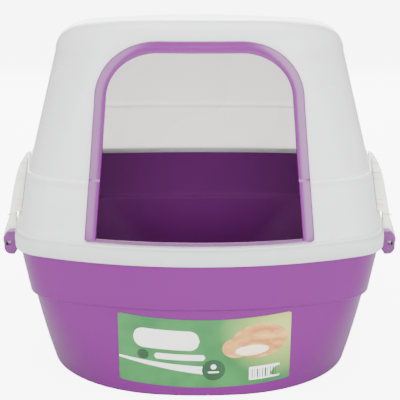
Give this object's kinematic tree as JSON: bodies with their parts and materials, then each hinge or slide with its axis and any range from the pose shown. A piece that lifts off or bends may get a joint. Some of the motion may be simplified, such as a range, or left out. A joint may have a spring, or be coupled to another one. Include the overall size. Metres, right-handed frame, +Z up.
{
  "type": "hooded cat litter box",
  "caption": "Hooded cat litter box: a stepped plastic pan, a lift-off hood with a framed arched doorway, and two side handles that swing out.",
  "frame": {"origin": "on the floor, at the middle of the bounding box's base", "axes": "+Z up; the doorway faces -Y; +X to the right of someone facing the doorway"},
  "size_m": [0.448, 0.532, 0.4003],
  "materials": {
    "purple_plastic": "glossy injection-moulded plastic",
    "white_plastic": "glossy injection-moulded plastic",
    "label_paper": "printed sheet, semi-matt"
  },
  "bodies": {
    "pan": {"pan": "purple_plastic", "label": "label_paper"},
    "hood": {"hood": "white_plastic", "door_frame": "purple_plastic", "pivot_lug_front_left": "purple_plastic", "pivot_lug_front_right": "purple_plastic", "pivot_lug_rear_left": "purple_plastic", "pivot_lug_rear_right": "purple_plastic"},
    "handle_left": {"handle_left": "white_plastic"},
    "handle_right": {"handle_right": "white_plastic"}
  },
  "joints": [
    {"name": "hood_lift", "type": "slide", "parent": "pan", "child": "hood", "axis": [0, 0, 1], "range_m": [0, 0.3]},
    {"name": "handle_left_swing", "type": "hinge", "parent": "hood", "child": "handle_left", "pos_m": [-0.21494, 0, 0.1449], "axis": [0, -1, 0], "range_deg": [0, 165]},
    {"name": "handle_right_swing", "type": "hinge", "parent": "hood", "child": "handle_right", "pos_m": [0.21494, 0, 0.1449], "axis": [0, 1, 0], "range_deg": [0, 165]}
  ]
}
